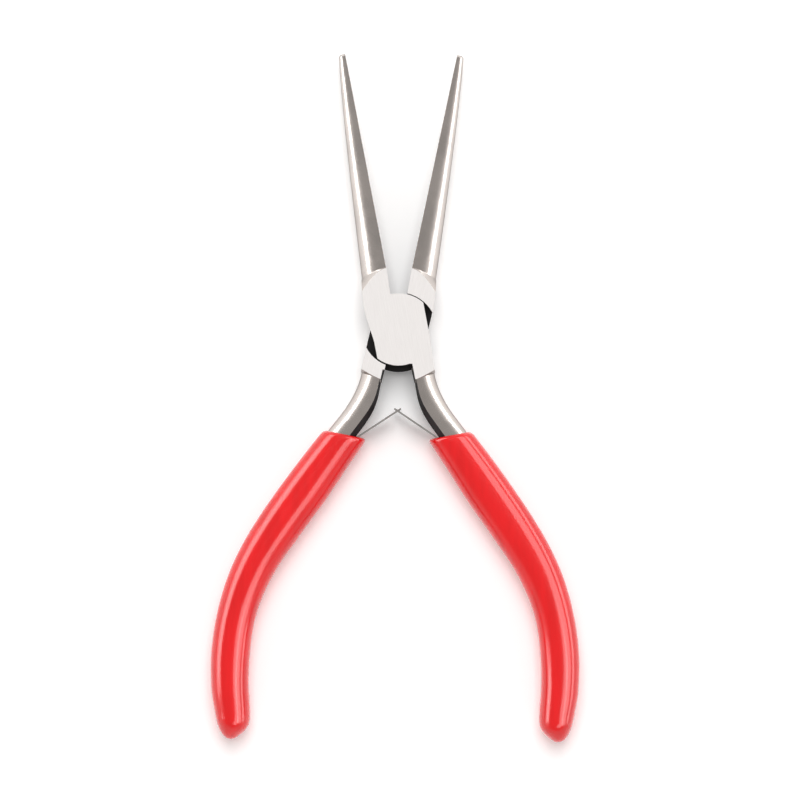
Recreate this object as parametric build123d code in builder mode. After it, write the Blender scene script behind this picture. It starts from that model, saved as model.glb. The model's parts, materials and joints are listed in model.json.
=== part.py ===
from build123d import *
import math
import os

# Long round-taper jewellery pliers with a lap joint, two leaf springs and dipped grips.
# Millimetres, +Z up. The tool lies flat with its jaws toward +Y. The origin is on the
# pivot axis, in the plane that the tool rests on.
# Each half is drawn with the tool shut, jaw on -X and handle on +X, and is then opened.

# ---- driving dimensions -------------------------------------------------------------
THICK = 9.4                 # height of the joint and of the grips
MID = THICK / 2             # height of the lap face
OPEN_HALF = 11.4            # each half stands open by this many degrees at rest
FACE_GAP = 0.03             # each jaw face stands off the centre line

TIP_Y = 61.0                # pivot to jaw tips
TIP_BEVEL = 0.4             # bevel round the end of each jaw
JAW_TOP = 14.2              # where the joint's barrel ends inside the jaw

PLATE_R = 8.15              # plate edge on the jaw side
JAW_SHOULDER_R = 8.35       # shoulder of the other half around it
LAP_GAP = 0.03              # running gap at the lap face, on each half
FRONT_FOOT_R = 7.4          # plate edge on the handle side, front lever
REAR_FOOT_R = 8.75          # plate edge on the handle side, rear lever
FRONT_HANDLE_CUT_R = 8.95   # shoulder in the front lever around the rear plate
REAR_HANDLE_CUT_R = 7.75    # shoulder in the rear lever around the front plate
FRONT_WAIST_X = 5.55        # half width of the plate at its free lower corner
REAR_WAIST_X = 6.15
FRONT_SIDE_X = 6.4          # half width of the plate on the shank's side
REAR_SIDE_X = 6.05
FRONT_SHOULDER_X = 6.4      # the same, at the top of that side
REAR_SHOULDER_X = 5.7
CROTCH_X = -0.2             # inner edge of the jaw's root, where it meets the plate
SHANK_INSIDE = 1.2          # inner face of the shank where it leaves the joint
DRAFT_W = 0.42              # draft on the inner edges of the shank's root
DRAFT_H = 1.4
DRAFT_END = 12.3            # distance from the pivot where the drafted root ends

RIVET_R = 2.2
RIVET_HEAD_R = 3.0
RIVET_HEAD_H = 1.0
RIVET_FIT = 0.05            # running clearance between the rivet and the rear lever

LEAF_T = 0.4                # spring strip thickness
LEAF_W = 4.8                # spring strip width
LEAF_HINGE = (4.15, -24.36) # where the free blade leaves the grip
LEAF_FOOT_ANGLE = -66.2     # direction of the clamped foot along the handle
LEAF_FOOT_LEN = 8.0
LEAF_BLADE_ANGLE = 135.0    # direction of the free blade with the tool open
LEAF_BLADE_LEN = 11.6
LEAF_SPLIT = 0.05           # gap between foot and blade
LEAF_SLIT_LEN = 2.4         # slit in the grip's lip that the blade swings in
LEAF_SLIT_W = 1.2
LEAF_SLIT_ANGLE = 125.1     # middle of the blade's swing
LEAF_SLIT_EASE = 0.15
FORK_START = 8.2            # distance along the blade where its end is forked or thinned
FORK_SLOT_W = 2.2
TONGUE_W = 1.8

SPRING_RIVET_AT = 4.6       # distance along the foot
SPRING_RIVET_R = 0.8
SPRING_RIVET_DEEP = 3.4
SPRING_HEAD_R = 1.5
SPRING_HEAD_H = 0.5

MOUTH_Y = -24.1             # open end of the grips
GRIP_ROUND = 3.1            # rounding along the grip's upper and lower edges
LIP_ROUND = 0.7

# Jaw sections: distance along the tool, half width, half depth.
JAW_SECTIONS = (
    (12.5, 5.62, 4.62),
    (26.0, 4.68, 3.95),
    (39.0, 3.68, 3.05),
    (50.0, 2.72, 2.30),
    (TIP_Y - TIP_BEVEL, 1.54, 1.38),
)

# Handle sections: distance along the tool, inner face, start of the rounded outside,
# outer edge, half depth of the flat inner face, half depth of the section.
HANDLE_SECTIONS = (
    (-9.5, 1.20, 1.58, 6.05, 3.3, 4.68),
    (-13.0, 1.35, 1.85, 6.12, 3.0, 4.42),
    (-16.5, 1.50, 2.35, 6.95, 2.7, 4.05),
    (-20.0, 2.45, 3.70, 8.35, 2.5, 3.78),
    (-24.0, 4.25, 5.60, 10.35, 2.4, 3.55),
    (-30.0, 6.90, 8.10, 12.90, 2.2, 3.40),
    (-38.0, 9.90, 11.0, 16.30, 2.0, 3.30),
    (-48.0, 14.1, 15.0, 20.50, 2.0, 3.30),
    (-58.0, 17.8, 18.6, 23.30, 2.0, 3.30),
    (-68.0, 19.1, 19.9, 24.30, 2.0, 3.20),
    (-78.0, 18.3, 19.1, 23.40, 2.0, 3.10),
    (-87.0, 16.4, 17.2, 20.80, 1.8, 2.80),
)

# Grip outline: the outer side from the mouth down, the domed end, the inner side up.
GRIP_OUTER = (
    (11.4, MOUTH_Y),
    (14.5, -30.3),
    (17.9, -37.6),
    (20.95, -44.8),
    (23.45, -51.9),
    (25.1, -59.2),
    (25.8, -67.5),
    (25.35, -75.9),
    (23.85, -83.5),
    (21.8, -89.0),
)
GRIP_INNER = (
    (16.15, -79.2),
    (17.3, -70.4),
    (17.0, -63.5),
    (15.1, -55.8),
    (11.6, -47.4),
    (7.8, -38.9),
    (4.6, -30.9),
    (1.8, MOUTH_Y),
)
DOME_AT = (17.2, -90.4)
DOME_R = 3.2
DOME_START = -38.0          # direction from the dome's centre to where it leaves the outer side

os.makedirs("parts", exist_ok=True)


def cross_plane(y):
    """A plane across the tool, with +X to the right and +Z up."""
    return Plane(origin=(0, y, MID), x_dir=(1, 0, 0), z_dir=(0, -1, 0))


def on_circle(x, radius, side):
    """The point of a circle about the pivot at the given x."""
    return (x, side * math.sqrt(radius**2 - x**2))


def quarter_ellipse(x, half_width, half_depth, start):
    """A quarter of an ellipse about (x, 0), counted from its start angle."""
    return EllipticalCenterArc((x, 0), half_width, half_depth, start_angle=start, arc_size=90)


# ---- lever pieces -------------------------------------------------------------------
def jaw_body():
    """Half of a slender oval cone, flat on the side that meets the other jaw."""
    end_y, end_width, end_depth = JAW_SECTIONS[-1]
    bevelled_end = (end_y + TIP_BEVEL, end_width - TIP_BEVEL, end_depth - TIP_BEVEL)
    with BuildPart() as jaw:
        for sections in (JAW_SECTIONS, (JAW_SECTIONS[-1], bevelled_end)):
            for y, half_width, half_depth in sections:
                with BuildSketch(cross_plane(y)):
                    with BuildLine():
                        quarter_ellipse(-FACE_GAP, half_width - FACE_GAP, half_depth, 90)
                        quarter_ellipse(-FACE_GAP, half_width - FACE_GAP, half_depth, 180)
                        Line((-FACE_GAP, -half_depth), (-FACE_GAP, half_depth))
                    make_face()
            loft()
    return jaw.part


def handle_body():
    """The forged shank and the core inside the grip: flat inside, rounded outside."""
    with BuildPart() as handle:
        for y, inner, shelf, outer, flat, depth in HANDLE_SECTIONS:
            with BuildSketch(cross_plane(y)):
                with BuildLine():
                    Line((inner, -flat), (inner, flat))
                    Line((inner, flat), (shelf, depth))
                    quarter_ellipse(shelf, outer - shelf, depth, 0)
                    quarter_ellipse(shelf, outer - shelf, depth, 270)
                    Line((shelf, -depth), (inner, -flat))
                make_face()
        loft()
    return handle.part


def joint_body(waist_x, shoulder_x, side_x, foot_r):
    """The flat joint with the roots of the jaw and the shank, before the lap is cut."""
    plate_right = on_circle(shoulder_x, PLATE_R, 1)
    plate_top = on_circle(CROTCH_X, PLATE_R, 1)
    foot_in = on_circle(SHANK_INSIDE, foot_r, -1)
    foot_out = on_circle(-waist_x, foot_r, -1)
    with BuildPart() as joint:
        with BuildSketch():
            with BuildLine():
                Polyline((-FACE_GAP, JAW_TOP), (-FACE_GAP, 12.8), plate_top)
                RadiusArc(plate_top, plate_right, PLATE_R)
                Polyline(plate_right, (side_x, -3.0), (6.1, -8.4), (6.1, -12.0), (1.3, -12.0), foot_in)
                RadiusArc(foot_in, foot_out, foot_r)
                Polyline(foot_out, (-waist_x, -1.2), (-6.3, 4.5), (-6.3, 7.0))
                Polyline((-6.3, 7.0), (-5.95, 11.0), (-5.48, JAW_TOP), (-FACE_GAP, JAW_TOP))
            make_face()
        extrude(amount=THICK)
        # A barrel about the shut jaws' axis makes the polished dips end in arches.
        with BuildSketch(Plane.XY.offset(MID)):
            with BuildLine():
                Polyline(
                    (0, JAW_TOP), (4.45, JAW_TOP), (4.85, 13.6), (7.9, 9.6), (9.5, 7.5),
                    (9.5, -8.8), (7.6, -9.65), (4.65, -11.0), (4.3, -11.6), (0, -11.6), (0, JAW_TOP),
                )
            make_face()
        revolve(axis=Axis((0, 0, MID), (0, 1, 0)), mode=Mode.INTERSECT)
    return joint.part


def lever(waist_x, shoulder_x, side_x, foot_r, handle_cut_r, bore_r, head_r):
    """One half of the pliers, shut, with its plate in the upper half of the joint."""
    joint = joint_body(waist_x, shoulder_x, side_x, foot_r)
    jaw = jaw_body()
    handle = handle_body()
    seat = leaf_foot(0)
    fixing = spring_rivet()
    with BuildPart() as half:
        add([joint, jaw, handle])
        # The lower half of the joint is open for the other lever's plate.
        with BuildSketch():
            Circle(JAW_SHOULDER_R)
            with Locations((0, -10)):
                Rectangle(40, 20, mode=Mode.SUBTRACT)
        extrude(amount=MID + LAP_GAP, mode=Mode.SUBTRACT)
        with BuildSketch():
            Circle(handle_cut_r)
            with Locations((SHANK_INSIDE - 10, 0)):
                Rectangle(20, 24)
            with Locations((0, 10)):
                Rectangle(40, 20, mode=Mode.SUBTRACT)
        extrude(amount=MID + LAP_GAP, mode=Mode.SUBTRACT)
        with Locations((0, 0, MID)):
            Cylinder(bore_r, THICK, mode=Mode.SUBTRACT)
        with Locations((0, 0, THICK - RIVET_HEAD_H / 2)):
            Cone(bore_r, head_r, RIVET_HEAD_H, mode=Mode.SUBTRACT)
        # The shank's inner edges are drafted back from where they leave the plate.
        with BuildSketch(Plane.XZ.offset(foot_r)):
            for face_z, way in ((THICK, 1), (0, -1)):
                with BuildLine():
                    Polyline(
                        (SHANK_INSIDE - DRAFT_W, face_z - way * DRAFT_H),
                        (SHANK_INSIDE, face_z - way * DRAFT_H),
                        (SHANK_INSIDE + DRAFT_W, face_z),
                        (SHANK_INSIDE - DRAFT_W, face_z),
                        close=True,
                    )
                make_face()
        extrude(amount=DRAFT_END - foot_r, mode=Mode.SUBTRACT)
        add([seat, fixing], mode=Mode.SUBTRACT)
    return half.part


# ---- springs ------------------------------------------------------------------------
def leaf_foot(bore):
    """The clamped end of a leaf spring, lying on the handle's inner face."""
    start = LEAF_T / 2 + LEAF_SPLIT
    with BuildPart(Plane(origin=(*LEAF_HINGE, MID))) as foot:
        with Locations(Location((0, 0, 0), (0, 0, LEAF_FOOT_ANGLE))):
            with Locations((start + LEAF_FOOT_LEN / 2, 0, 0)):
                Box(LEAF_FOOT_LEN, LEAF_T, LEAF_W)
            with Locations(Location((SPRING_RIVET_AT, 0, 0), (90, 0, 0))):
                if bore:
                    Cylinder(bore, THICK, mode=Mode.SUBTRACT)
    return foot.part


def leaf_blade(forked):
    """The free blade: a fork on one side, a tongue that passes through it on the other."""
    with BuildPart(Plane(origin=(*LEAF_HINGE, MID))) as blade:
        with Locations(Location((0, 0, 0), (0, 0, LEAF_BLADE_ANGLE))):
            Cylinder(LEAF_T / 2, LEAF_W)
            with Locations((LEAF_BLADE_LEN / 2, 0, 0)):
                Box(LEAF_BLADE_LEN, LEAF_T, LEAF_W)
            end = LEAF_BLADE_LEN - FORK_START
            with Locations((FORK_START + end / 2, 0, 0)):
                if forked:
                    Box(end, LEAF_T, FORK_SLOT_W, mode=Mode.SUBTRACT)
                else:
                    side = (LEAF_W - TONGUE_W) / 2
                    with Locations((0, 0, (LEAF_W - side) / 2), (0, 0, -(LEAF_W - side) / 2)):
                        Box(end, LEAF_T, side, mode=Mode.SUBTRACT)
    return blade.part


def spring_rivet():
    """A small headed rivet that holds the foot to the handle."""
    with BuildPart(Plane(origin=(*LEAF_HINGE, MID))) as rivet:
        with Locations(Location((0, 0, 0), (0, 0, LEAF_FOOT_ANGLE))):
            with Locations((SPRING_RIVET_AT, 0, 0)):
                with Locations(Location((0, SPRING_RIVET_DEEP / 2, 0), (90, 0, 0))):
                    Cylinder(SPRING_RIVET_R, SPRING_RIVET_DEEP)
                with Locations(Location((0, -(LEAF_T + SPRING_HEAD_H) / 2, 0), (90, 0, 0))):
                    Cylinder(SPRING_HEAD_R, SPRING_HEAD_H)
                with Locations(Location((0, -LEAF_T / 4, 0), (90, 0, 0))):
                    Cylinder(SPRING_RIVET_R, LEAF_T / 2)
    return rivet.part


# ---- grips --------------------------------------------------------------------------
def grip():
    """A dipped sleeve with a rounded lip, closed over the end of the handle."""
    core = handle_body()
    strip = leaf_foot(0)
    fixing = spring_rivet()
    begin = math.radians(DOME_START)
    outward = (math.cos(begin), math.sin(begin))
    arc_in = (DOME_AT[0] + DOME_R * outward[0], DOME_AT[1] + DOME_R * outward[1])
    arc_low = (DOME_AT[0], DOME_AT[1] - DOME_R)
    arc_out = (DOME_AT[0] - DOME_R, DOME_AT[1])
    with BuildPart() as sleeve:
        with BuildSketch():
            with BuildLine():
                Spline(*GRIP_OUTER, arc_in, tangents=[(3.3, -6.2), (outward[1], -outward[0])])
                ThreePointArc(arc_in, arc_low, arc_out)
                Spline(arc_out, *GRIP_INNER, tangents=[(0, 1), (-2.2, 6.8)])
                Line(GRIP_INNER[-1], GRIP_OUTER[0])
            make_face()
        extrude(amount=THICK)
        level = sleeve.edges().filter_by(lambda e: abs(e.bounding_box().size.Z) < 0.001)
        mouth_edges = level.sort_by(Axis.Y)[-2:]
        fillet(level - mouth_edges, radius=GRIP_ROUND)
        mouth = sleeve.faces().filter_by(Axis.Y).sort_by(Axis.Y)[-1]
        fillet(mouth.edges(), radius=LIP_ROUND)
        add([core, strip, fixing], mode=Mode.SUBTRACT)
        with Locations(Location((*LEAF_HINGE, MID), (0, 0, LEAF_SLIT_ANGLE))):
            with Locations((LEAF_SLIT_LEN / 2 - LEAF_SLIT_W / 3, 0, 0)):
                Box(LEAF_SLIT_LEN, LEAF_SLIT_W, LEAF_W + 2 * LEAF_SLIT_EASE, mode=Mode.SUBTRACT)
    return sleeve.part


# ---- pivot rivet --------------------------------------------------------------------
def pivot_rivet():
    """A rivet with a countersunk head at each end, both dressed flush."""
    with BuildPart() as rivet:
        with Locations((0, 0, MID)):
            Cylinder(RIVET_R, THICK)
        with Locations((0, 0, THICK - RIVET_HEAD_H / 2)):
            Cone(RIVET_R, RIVET_HEAD_R, RIVET_HEAD_H)
        with Locations((0, 0, RIVET_HEAD_H / 2)):
            Cone(RIVET_HEAD_R, RIVET_R, RIVET_HEAD_H)
    return rivet.part


# ---- placing ------------------------------------------------------------------------
def front(shape):
    """Open a piece of the front lever from its shut position."""
    return shape.rotate(Axis.Z, OPEN_HALF)


def rear(shape):
    """Turn a piece over about the tool's length for the rear lever, then open it."""
    turned = shape.rotate(Axis((0, 0, MID), (0, 1, 0)), 180)
    return turned.rotate(Axis.Z, -OPEN_HALF)


def save(shape, name):
    """Write one piece, labelled with its node name."""
    shape.label = name
    export_step(shape, f"parts/{name}.step")


clear_bore = RIVET_R + RIVET_FIT
clear_head = RIVET_HEAD_R + RIVET_FIT
front_half = lever(
    FRONT_WAIST_X, FRONT_SHOULDER_X, FRONT_SIDE_X, FRONT_FOOT_R, FRONT_HANDLE_CUT_R, RIVET_R, RIVET_HEAD_R
)
rear_half = lever(
    REAR_WAIST_X, REAR_SHOULDER_X, REAR_SIDE_X, REAR_FOOT_R, REAR_HANDLE_CUT_R, clear_bore, clear_head
)

save(front(front_half), "front_lever")
save(rear(rear_half), "rear_lever")
save(pivot_rivet(), "pivot_rivet")

sleeve = grip()
save(front(sleeve), "right_grip")
save(rear(sleeve), "left_grip")

foot = leaf_foot(SPRING_RIVET_R)
save(front(foot), "right_spring_foot")
save(rear(foot), "left_spring_foot")
save(front(leaf_blade(True)), "right_spring_blade")
save(rear(leaf_blade(False)), "left_spring_blade")
save(front(spring_rivet()), "right_spring_rivet")
save(rear(spring_rivet()), "left_spring_rivet")
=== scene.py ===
import bmesh
import bpy
import json
import math
from mathutils import Matrix, Vector


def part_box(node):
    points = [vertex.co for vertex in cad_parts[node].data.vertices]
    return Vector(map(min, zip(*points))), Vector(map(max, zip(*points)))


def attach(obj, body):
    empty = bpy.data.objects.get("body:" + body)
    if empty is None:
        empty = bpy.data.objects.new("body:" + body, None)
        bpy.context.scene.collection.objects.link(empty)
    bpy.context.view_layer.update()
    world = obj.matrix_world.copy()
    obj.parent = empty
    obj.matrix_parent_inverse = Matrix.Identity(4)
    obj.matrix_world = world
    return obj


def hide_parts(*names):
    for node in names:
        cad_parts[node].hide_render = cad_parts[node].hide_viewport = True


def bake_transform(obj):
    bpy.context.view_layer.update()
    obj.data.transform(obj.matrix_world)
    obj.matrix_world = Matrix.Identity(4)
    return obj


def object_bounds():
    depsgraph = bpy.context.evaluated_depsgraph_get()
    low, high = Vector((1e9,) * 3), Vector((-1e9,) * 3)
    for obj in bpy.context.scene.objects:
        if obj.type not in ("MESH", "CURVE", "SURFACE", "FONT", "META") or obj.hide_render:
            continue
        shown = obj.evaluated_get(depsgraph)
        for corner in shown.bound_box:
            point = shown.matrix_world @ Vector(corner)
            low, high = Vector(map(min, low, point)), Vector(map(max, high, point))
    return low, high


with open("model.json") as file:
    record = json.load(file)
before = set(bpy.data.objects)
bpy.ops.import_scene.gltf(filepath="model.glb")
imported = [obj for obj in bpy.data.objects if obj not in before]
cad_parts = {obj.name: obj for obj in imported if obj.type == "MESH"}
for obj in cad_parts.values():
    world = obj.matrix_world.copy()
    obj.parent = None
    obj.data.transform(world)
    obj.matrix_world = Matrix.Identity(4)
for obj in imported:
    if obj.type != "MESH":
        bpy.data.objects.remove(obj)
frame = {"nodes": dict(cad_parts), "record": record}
cad_low, cad_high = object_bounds()

MM = 0.001
OPEN_HALF = math.radians(11.4)      # each lever stands open by this much at rest
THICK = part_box("pivot_rivet")[1].z  # height of the joint
MID = THICK / 2


# ---- node helpers -------------------------------------------------------------------
class Tree:
    """A short way to write a node material."""

    def __init__(self, name):
        self.material = bpy.data.materials.new(name)
        self.material.use_nodes = True
        self.nodes = self.material.node_tree.nodes
        self.links = self.material.node_tree.links
        self.shader = self.nodes["Principled BSDF"]

    def add(self, kind, **settings):
        node = self.nodes.new(kind)
        for key, value in settings.items():
            setattr(node, key, value)
        return node

    def feed(self, socket, value):
        if isinstance(value, bpy.types.NodeSocket):
            self.links.new(value, socket)
        else:
            socket.default_value = value

    def math(self, operation, a, b=0.0):
        node = self.add("ShaderNodeMath", operation=operation)
        self.feed(node.inputs[0], a)
        self.feed(node.inputs[1], b)
        return node.outputs[0]

    def ramp(self, value, low, high):
        """0 below low, 1 above high, smooth between."""
        node = self.add("ShaderNodeMapRange", interpolation_type="SMOOTHSTEP")
        self.feed(node.inputs["Value"], value)
        node.inputs["From Min"].default_value = low
        node.inputs["From Max"].default_value = high
        return node.outputs["Result"]

    def remap(self, value, low, high):
        """0 to 1 becomes low to high."""
        node = self.add("ShaderNodeMapRange")
        self.feed(node.inputs["Value"], value)
        node.inputs["To Min"].default_value = low
        node.inputs["To Max"].default_value = high
        return node.outputs["Result"]

    def noise(self, vector, scale, detail=2.0, stretch=(1, 1, 1)):
        mapping = self.add("ShaderNodeMapping")
        self.feed(mapping.inputs["Vector"], vector)
        mapping.inputs["Scale"].default_value = stretch
        node = self.add("ShaderNodeTexNoise")
        self.feed(node.inputs["Vector"], mapping.outputs[0])
        node.inputs["Scale"].default_value = scale
        node.inputs["Detail"].default_value = detail
        return node.outputs["Fac"]

    def mix(self, factor, a, b):
        node = self.add("ShaderNodeMix", data_type="RGBA")
        self.feed(node.inputs[0], factor)
        self.feed(node.inputs[6], a)
        self.feed(node.inputs[7], b)
        return node.outputs[2]

    def blend(self, factor, a, b):
        node = self.add("ShaderNodeMix", data_type="FLOAT")
        self.feed(node.inputs[0], factor)
        self.feed(node.inputs[2], a)
        self.feed(node.inputs[3], b)
        return node.outputs[0]

    def turned(self, vector, angle):
        """The vector turned about Z, such as from the opened tool to the shut one."""
        node = self.add("ShaderNodeMapping", vector_type="POINT")
        self.feed(node.inputs["Vector"], vector)
        node.inputs["Rotation"].default_value = (0, 0, angle)
        return node.outputs[0]

    def split(self, vector):
        node = self.add("ShaderNodeSeparateXYZ")
        self.feed(node.inputs[0], vector)
        return node.outputs

    def bump(self, height, distance, strength, edge=None):
        """Relief from a height; edge is the radius that sharp corners are softened by."""
        node = self.add("ShaderNodeBump")
        if edge is not None:
            soft = self.add("ShaderNodeBevel", samples=6)
            self.feed(soft.inputs["Radius"], edge)
            self.feed(node.inputs["Normal"], soft.outputs[0])
        node.inputs["Distance"].default_value = distance
        node.inputs["Strength"].default_value = strength
        self.feed(node.inputs["Height"], height)
        self.feed(self.shader.inputs["Normal"], node.outputs[0])


# ---- materials ----------------------------------------------------------------------
POLISHED = (0.64, 0.592, 0.560, 1)
POLISHED_PATCHES = (0.55, 0.512, 0.485, 1)
PAINTED_DARK_SIDES = (0.36, 0.335, 0.325, 1)     # steep sides darkened: painted shade that stands in for the dark reflection they catch at grazing angles
BRUSHED = (0.86, 0.838, 0.826, 1)
BRUSHED_LINES = (0.81, 0.788, 0.776, 1)
OXIDE = (0.012, 0.012, 0.013, 1)
OXIDE_PATCHES = (0.03, 0.029, 0.03, 1)
RED = (0.80, 0.0035, 0.006, 1)
RED_STREAKS = (0.70, 0.0025, 0.004, 1)
STRIP = (0.62, 0.60, 0.58, 1)
STRIP_PATCHES = (0.52, 0.50, 0.48, 1)
FLOOR = (0.93, 0.93, 0.93, 1)
FLOOR_PATCHES = (0.95, 0.95, 0.95, 1)
GRAZING = (0.6, 0.58, 0.57, 1)      # what the steel's reflections fade to at grazing angles


def lever_steel(name, side):
    """Forged steel: polished jaws and shanks, brushed joint faces, blackened lap."""
    t = Tree(name)
    coords = t.add("ShaderNodeTexCoord")
    place = t.turned(coords.outputs["Object"], -side * OPEN_HALF)
    facing = t.turned(coords.outputs["Normal"], -side * OPEN_HALF)
    x, y, z = t.split(place)
    nx, ny, nz = t.split(facing)
    height = t.math("ABSOLUTE", t.math("SUBTRACT", z, MID))
    flat = t.math("ABSOLUTE", nz)

    # Brushed: the flat top and bottom of the joint.
    near_top = t.ramp(height, MID - 0.08 * MM, MID - 0.03 * MM)
    on_face = t.math("MULTIPLY", near_top, t.ramp(flat, 0.97, 0.995))

    # Black: the lap face, the shoulders round it and the drafted inside of the shank.
    lap_face = t.math("MULTIPLY", t.ramp(height, 0.4 * MM, 0.2 * MM), t.ramp(flat, 0.8, 0.9))
    toward_hand = t.math("MULTIPLY", nx, -side)
    inside = t.math("MULTIPLY", t.ramp(toward_hand, 0.25, 0.45), t.ramp(y, -8.2 * MM, -9.2 * MM))
    radius = t.math("SQRT", t.math("ADD", t.math("POWER", x, 2.0), t.math("POWER", y, 2.0)))
    shoulder = t.math("MULTIPLY", t.ramp(radius, 9.4 * MM, 9.25 * MM), t.ramp(flat, 0.3, 0.1))
    edge_x = t.math("ABSOLUTE", x)
    shoulder = t.math("MULTIPLY", shoulder, t.ramp(edge_x, 5.9 * MM, 5.7 * MM))
    black = t.math("MAXIMUM", t.math("MAXIMUM", lap_face, inside), shoulder)

    grain = t.noise(place, 900, 3, (14, 0.35, 1))
    patch = t.noise(place, 160, 3)
    scratch = t.noise(place, 2600, 2, (1, 0.12, 1))
    polished = t.mix(t.ramp(patch, 0.35, 0.75), POLISHED, POLISHED_PATCHES)
    # Painted shade: the steep sides get a darker base colour in place of the dark reflection they
    # would show.
    polished = t.mix(t.math("MULTIPLY", t.ramp(flat, 0.45, 0.15), 0.85), polished, PAINTED_DARK_SIDES)
    brushed = t.mix(t.ramp(grain, 0.3, 0.7), BRUSHED_LINES, BRUSHED)
    colour = t.mix(on_face, polished, brushed)
    oxide = t.mix(t.ramp(patch, 0.3, 0.7), OXIDE, OXIDE_PATCHES)
    t.feed(t.shader.inputs["Base Color"], t.mix(black, colour, oxide))

    polish_rough = t.remap(scratch, 0.18, 0.30)
    brush_rough = t.remap(grain, 0.42, 0.56)
    rough = t.blend(on_face, polish_rough, brush_rough)
    t.feed(t.shader.inputs["Roughness"], t.blend(black, rough, t.remap(patch, 0.45, 0.65)))
    metal = t.blend(on_face, 1.0, 0.2)
    t.feed(t.shader.inputs["Metallic"], t.blend(black, metal, 0.2))
    lines = t.math("MULTIPLY", grain, t.blend(on_face, 0.06, 1.0))
    t.shader.inputs["Specular Tint"].default_value = GRAZING
    past_rivet = t.ramp(radius, 3.6 * MM, 4.2 * MM)      # the flush rivet's rim stays sharp
    t.bump(lines, 0.004 * MM, 0.6, edge=t.math("MULTIPLY", past_rivet, 0.14 * MM))
    return t.material


def dipped_vinyl(name):
    """Glossy red dipped vinyl, slightly wavy, with faint streaks from the dip."""
    t = Tree(name)
    coords = t.add("ShaderNodeTexCoord").outputs["Object"]
    wave = t.noise(coords, 120, 2, (1, 0.35, 1))
    skin = t.noise(coords, 2400, 2)
    streak = t.noise(coords, 420, 3, (1, 0.15, 1))
    t.feed(t.shader.inputs["Base Color"], t.mix(t.ramp(streak, 0.3, 0.75), RED, RED_STREAKS))
    t.feed(t.shader.inputs["Roughness"], t.remap(skin, 0.15, 0.22))
    t.shader.inputs["IOR"].default_value = 1.52
    t.shader.inputs["Coat Weight"].default_value = 0.2
    t.shader.inputs["Coat Roughness"].default_value = 0.06
    t.shader.inputs["Subsurface Weight"].default_value = 0.04
    t.shader.inputs["Subsurface Radius"].default_value = (0.002, 0.0005, 0.0004)
    t.bump(t.math("ADD", wave, t.math("MULTIPLY", skin, 0.02)), 0.12 * MM, 0.5)
    return t.material


def spring_strip(name):
    """Cold-rolled spring strip with fine lines along its length."""
    t = Tree(name)
    coords = t.add("ShaderNodeTexCoord").outputs["Object"]
    lines = t.noise(coords, 1400, 2, (0.2, 0.2, 3))
    tint = t.noise(coords, 300, 3)
    t.feed(t.shader.inputs["Base Color"], t.mix(t.ramp(tint, 0.3, 0.7), STRIP, STRIP_PATCHES))
    t.feed(t.shader.inputs["Roughness"], t.remap(lines, 0.22, 0.36))
    t.shader.inputs["Metallic"].default_value = 1.0
    t.bump(lines, 0.004 * MM, 0.6)
    return t.material


def paint(name, material):
    """Give a CAD node one material all over."""
    node = frame["nodes"][name]
    if not node.material_slots:
        node.data.materials.append(material)
    for held in node.material_slots:
        held.material = material


front_steel = lever_steel("front_steel", 1)
paint("front_lever", front_steel)
paint("rear_lever", lever_steel("rear_steel", -1))
paint("pivot_rivet", front_steel)
vinyl = dipped_vinyl("red_vinyl")
strip = spring_strip("spring_strip")
for side in ("right", "left"):
    paint(f"{side}_grip", vinyl)
    for piece in ("foot", "blade", "rivet"):
        paint(f"{side}_spring_{piece}", strip)


# ---- dipped grips: round sleeves drawn on the same outline as the CAD grips ------------------
# Points are in millimetres, with the tool shut and the right handle on +X.
SLEEVE_OUTER = (
    (11.4, -24.1), (14.5, -30.3), (17.9, -37.6), (20.95, -44.8), (23.45, -51.9),
    (25.1, -59.2), (25.75, -67.5), (25.25, -75.9), (23.65, -83.5), (21.85, -88.4),
    (20.75, -90.9), (19.65, -92.5), (18.6, -93.4), (17.6, -93.75),
)
SLEEVE_INNER = (
    (1.8, -24.1), (4.6, -30.9), (7.8, -38.9), (11.6, -47.4), (15.1, -55.8),
    (17.0, -63.5), (17.3, -70.4), (16.2, -79.4), (14.5, -86.2), (13.95, -88.9),
    (14.3, -90.7), (15.4, -92.3), (16.5, -93.4), (17.6, -93.75),
)
SLEEVE_RINGS = 110
SLEEVE_SIDES = 56
LIP = 1.0 * MM                      # rounding of the open end
LIP_RINGS = 8
NECK = 0.62                         # size of the mesh's closed start inside the lip
SECTION_POWER = 0.9                 # below 1 the section is a little squarer than an ellipse
END_HALF_W = 3.5 * MM               # half width where the sleeve starts to close
END_POWER = 0.85                    # how its depth follows its width from there
CURVE_STEPS = 24


def smooth_line(points, count):
    """Evenly spaced points on a smooth curve through the given ones."""
    known = [Vector((x * MM, y * MM, 0)) for x, y in points]
    known = [2 * known[0] - known[1]] + known + [2 * known[-1] - known[-2]]
    dense = []
    for i in range(1, len(known) - 2):
        p0, p1, p2, p3 = known[i - 1:i + 3]
        for k in range(CURVE_STEPS):
            t = k / CURVE_STEPS
            dense.append(0.5 * (2 * p1 + (p2 - p0) * t + (2 * p0 - 5 * p1 + 4 * p2 - p3) * t * t
                                + (3 * p1 - p0 - 3 * p2 + p3) * t * t * t))
    dense.append(known[-2])
    run = [0.0]
    for p, q in zip(dense, dense[1:]):
        run.append(run[-1] + (q - p).length)
    line, k = [], 0
    for i in range(count):
        want = run[-1] * i / (count - 1)
        while k < len(run) - 2 and run[k + 1] < want:
            k += 1
        line.append(dense[k].lerp(dense[k + 1], (want - run[k]) / (run[k + 1] - run[k])))
    return line


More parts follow.
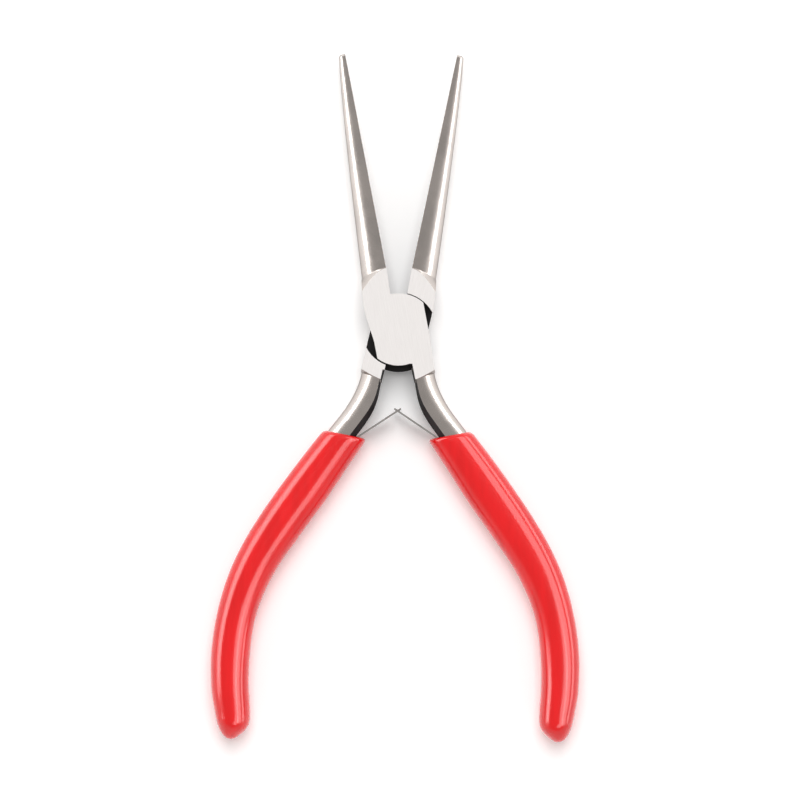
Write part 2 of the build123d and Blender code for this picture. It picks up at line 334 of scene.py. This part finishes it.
def sleeve(side):
    """One dipped sleeve: rings along the outline, a rounded lip and a closed tip."""
    flip = 1 if side == "right" else -1
    turn = Matrix.Rotation(flip * OPEN_HALF, 3, "Z")
    outer = smooth_line(SLEEVE_OUTER, SLEEVE_RINGS)
    inner = smooth_line(SLEEVE_INNER, SLEEVE_RINGS)
    mesh = bmesh.new()
    rings = []

    def ring(centre, half, depth):
        loop = []
        for k in range(SLEEVE_SIDES):
            angle = 2 * math.pi * k / SLEEVE_SIDES
            c, z = math.cos(angle), math.sin(angle)
            across = math.copysign(abs(c) ** SECTION_POWER, c)
            up = math.copysign(abs(z) ** SECTION_POWER, z)
            point = centre + half * across
            place = turn @ Vector((flip * point.x, point.y, 0))
            loop.append(mesh.verts.new((place.x, place.y, MID + depth * up)))
        rings.append(loop)

    begin = (outer[0] + inner[0]) / 2
    reach = (outer[0] - inner[0]) / 2
    down = ((outer[1] + inner[1]) / 2 - begin).normalized()
    ring(begin + down * 2 * LIP, reach * NECK, MID * NECK)
    for i in range(LIP_RINGS):
        angle = math.pi / 2 * i / LIP_RINGS
        pull = LIP * (1 - math.sin(angle))
        centre = begin + down * LIP * (1 - math.cos(angle))
        ring(centre, reach * (1 - pull / reach.length), MID - pull)
    for o, i in zip(outer, inner):
        centre = (o + i) / 2
        if (centre - begin).length < LIP:
            continue
        half = (o - i) / 2
        if half.length < 0.02 * MM:
            continue
        ring(centre, half, MID * min(1.0, half.length / END_HALF_W) ** END_POWER)
    for first, second in zip(rings, rings[1:]):
        for k in range(SLEEVE_SIDES):
            n = (k + 1) % SLEEVE_SIDES
            mesh.faces.new((first[k], first[n], second[n], second[k]))
    mesh.faces.new(rings[0])
    mesh.faces.new(list(reversed(rings[-1])))
    bmesh.ops.recalc_face_normals(mesh, faces=mesh.faces)
    skin = bpy.data.meshes.new(f"{side}_sleeve")
    mesh.to_mesh(skin)
    mesh.free()
    skin.shade_smooth()
    skin.materials.append(vinyl)
    grip = bpy.data.objects.new(f"{side}_sleeve", skin)
    bpy.context.scene.collection.objects.link(grip)
    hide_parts(f"{side}_grip")
    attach(grip, "front" if side == "right" else "rear")


sleeve("right")
sleeve("left")


# ---- leaf springs: each real strip is one piece, so one mesh stands for its two CAD nodes ----
STRIP_T = 0.4 * MM
STRIP_W = 4.8 * MM
FOOT_TURN = math.radians(-66.2) + OPEN_HALF     # the right foot's direction from the bend
BLADE_TURN = math.radians(135.0) + OPEN_HALF    # the right blade's direction from the bend
FOOT_LEN = 7.6 * MM
BLADE_LEN = 11.55 * MM
FORK_START = 8.2 * MM
FORK_SLOT = 2.2 * MM
TONGUE = 1.8 * MM
BEND_R = 2.6 * MM
FOOT_STEPS, BEND_STEPS, BLADE_STEPS = 6, 9, 32


def hinge_point(side):
    """Where a blade leaves its grip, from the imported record."""
    for joint in frame["record"]["behaviour"]["joints"]:
        if joint["name"] == f"{side}_spring_flex":
            return Vector(joint["pos_m"])


def strip_path(side):
    """Points along a strip's middle, from the clamped end to the tip."""
    flip = 1 if side == "right" else -1
    bend = hinge_point(side)
    toward_foot = Vector((flip * math.cos(FOOT_TURN), math.sin(FOOT_TURN), 0))
    toward_tip = Vector((flip * math.cos(BLADE_TURN), math.sin(BLADE_TURN), 0))
    setback = BEND_R * math.tan((math.pi - toward_foot.angle(toward_tip)) / 2)
    straight = (FOOT_LEN - setback) / FOOT_STEPS
    points = [bend + toward_foot * (FOOT_LEN - straight * i) for i in range(FOOT_STEPS + 1)]
    for i in range(1, BEND_STEPS):
        t = i / BEND_STEPS
        near = bend + toward_foot * setback * (1 - t)
        far = bend + toward_tip * setback * t
        points.append(near.lerp(far, t))
    straight = (BLADE_LEN - setback) / BLADE_STEPS
    points += [bend + toward_tip * (setback + straight * i) for i in range(BLADE_STEPS + 1)]
    return points


def leaf_strip(side, forked):
    """One strip, with a fork at its tip or the tongue that passes through the fork."""
    bend = hinge_point(side)
    points = strip_path(side)
    levels = [-STRIP_W / 2, -FORK_SLOT / 2, -TONGUE / 2, TONGUE / 2, FORK_SLOT / 2, STRIP_W / 2]
    blade = FOOT_STEPS + BEND_STEPS
    narrow = next(i for i in range(blade, len(points)) if (points[i] - bend).length >= FORK_START)
    mesh = bmesh.new()
    grid = [[mesh.verts.new((p.x, p.y, bend.z + z)) for z in levels] for p in points]
    for i in range(len(points) - 1):
        cut = () if i < narrow else (1, 2, 3) if forked else (0, 1, 3, 4)
        for k in range(5):
            if k in cut:
                continue
            mesh.faces.new((grid[i][k], grid[i + 1][k], grid[i + 1][k + 1], grid[i][k + 1]))
    loose = [v for v in mesh.verts if not v.link_faces]
    bmesh.ops.delete(mesh, geom=loose, context="VERTS")
    flat = bpy.data.meshes.new(f"{side}_leaf_sheet")
    mesh.to_mesh(flat)
    mesh.free()
    sheet = bpy.data.objects.new(f"{side}_leaf_sheet", flat)
    bpy.context.scene.collection.objects.link(sheet)
    thick = sheet.modifiers.new("thickness", "SOLIDIFY")
    thick.thickness = STRIP_T
    thick.offset = 0
    soft = sheet.modifiers.new("sheared_edges", "BEVEL")
    soft.width = 0.05 * MM
    soft.segments = 2
    soft.limit_method = "ANGLE"
    bpy.context.view_layer.update()
    graph = bpy.context.evaluated_depsgraph_get()
    solid = bpy.data.meshes.new_from_object(sheet.evaluated_get(graph))
    bpy.data.objects.remove(sheet)
    solid.materials.clear()
    solid.materials.append(strip)
    solid.shade_smooth()
    leaf = bpy.data.objects.new(f"{side}_leaf_spring", solid)
    bpy.context.scene.collection.objects.link(leaf)
    solid.set_sharp_from_angle(angle=math.radians(35))
    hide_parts(f"{side}_spring_foot", f"{side}_spring_blade")
    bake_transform(leaf)


leaf_strip("right", True)
leaf_strip("left", False)


# ---- surroundings -------------------------------------------------------------------
def floor_material():
    t = Tree("pale_floor")
    coords = t.add("ShaderNodeTexCoord").outputs["Object"]
    t.feed(t.shader.inputs["Base Color"], t.mix(t.noise(coords, 30, 3), FLOOR, FLOOR_PATCHES))
    t.shader.inputs["Roughness"].default_value = 0.7
    t.shader.inputs["Emission Color"].default_value = (1, 1, 1, 1)
    t.shader.inputs["Emission Strength"].default_value = 0.14
    return t.material


def make_floor():
    reach = 3.0
    corners = [(-reach, -reach, 0), (reach, -reach, 0), (reach, reach, 0), (-reach, reach, 0)]
    mesh = bpy.data.meshes.new("floor")
    mesh.from_pydata(corners, [], [(0, 1, 2, 3)])
    floor = bpy.data.objects.new("floor", mesh)
    bpy.context.scene.collection.objects.link(floor)
    floor.location.z = cad_low.z
    mesh.materials.append(floor_material())


def softbox(name, place, aim, width, height, power):
    light = bpy.data.lights.new(name, "AREA")
    light.shape = "RECTANGLE"
    light.size = width
    light.size_y = height
    light.energy = power
    lamp = bpy.data.objects.new(name, light)
    bpy.context.scene.collection.objects.link(lamp)
    lamp.location = place
    lamp.rotation_euler = (Vector(aim) - Vector(place)).to_track_quat("-Z", "Y").to_euler()
    return lamp


TOOL_CENTRE = Vector((0, -20 * MM, 0))


def light_at(name, azimuth, elevation, distance, width, height, radiance):
    """A softbox that faces the tool, placed by direction.

    Azimuth 0 is +X, and radiance is what a mirror would show.
    """
    a, e = math.radians(azimuth), math.radians(elevation)
    toward = Vector((math.cos(e) * math.cos(a), math.cos(e) * math.sin(a), math.sin(e)))
    power = radiance * math.pi * width * height
    return softbox(name, TOOL_CENTRE + distance * toward, TOOL_CENTRE, width, height, power)


def only_for_sleeves(lamp):
    """Mask a reflector off from everything but the two sleeves."""
    group = bpy.data.collections.new(f"{lamp.name}_reaches")
    for name in ("left_sleeve", "right_sleeve"):
        group.objects.link(bpy.data.objects[name])
    lamp.light_linking.receiver_collection = group


make_floor()
for box in (
    light_at("left_box", 160, 15, 0.85, 1.10, 0.26, 3.2),
    light_at("right_box", 16, 9, 0.85, 1.10, 0.24, 3.5),
):
    box.visible_diffuse = False      # these only draw the highlights
fill = light_at("overhead_fill", 90, 66, 1.3, 0.7, 0.9, 5.6)
fill.visible_glossy = False          # it only lifts the shadows
for box in (
    light_at("left_strip", 154, 31, 0.85, 1.10, 0.30, 4.8),
    light_at("right_strip", 16, 46, 0.85, 1.20, 0.50, 3.6),
    light_at("front_right_strip", -38, 62, 0.85, 0.60, 0.34, 3.2),
):
    box.visible_diffuse = False
    only_for_sleeves(box)


def studio(name):
    """Dim overhead and bright low down, like a white tent with a dark roof."""
    world = bpy.data.worlds.new(name)
    bpy.context.scene.world = world
    world.use_nodes = True
    nodes, links = world.node_tree.nodes, world.node_tree.links
    coords = nodes.new("ShaderNodeTexCoord")
    split = nodes.new("ShaderNodeSeparateXYZ")
    links.new(coords.outputs["Generated"], split.inputs[0])
    fade = nodes.new("ShaderNodeMapRange")
    fade.interpolation_type = "SMOOTHSTEP"
    fade.inputs["From Min"].default_value = 0.72
    fade.inputs["From Max"].default_value = 0.25
    fade.inputs["To Min"].default_value = 0.44
    fade.inputs["To Max"].default_value = 1.0
    links.new(split.outputs["Z"], fade.inputs["Value"])
    back = nodes["Background"]
    back.inputs["Color"].default_value = (1.0, 0.97, 0.95, 1)
    links.new(fade.outputs["Result"], back.inputs["Strength"])


studio("studio")
bpy.context.scene.view_settings.view_transform = "Standard"

# ---- camera: straight above, a long lens, turned by the tool's slight lean ---------------
PHOTO_WIDTH = 172 * MM               # what the frame takes in at the height of the joint's face
LENS = 200
LEAN = math.radians(0.57)
PIVOT_UP = 14.8 * MM                 # the pivot sits above the frame's centre
PIVOT_LEFT = 0.34 * MM

camera = bpy.data.cameras.new("camera")
camera.lens = LENS
camera.sensor_width = 36
camera.clip_start = 0.01
camera.clip_end = 10
view = bpy.data.objects.new("camera", camera)
bpy.context.scene.collection.objects.link(view)
away = PHOTO_WIDTH * LENS / camera.sensor_width
turn = Matrix.Rotation(LEAN, 4, "Z")
centre = turn @ Vector((PIVOT_LEFT, -PIVOT_UP, 0))
view.matrix_world = Matrix.Translation((centre.x, centre.y, THICK + away)) @ turn
bpy.context.scene.camera = view
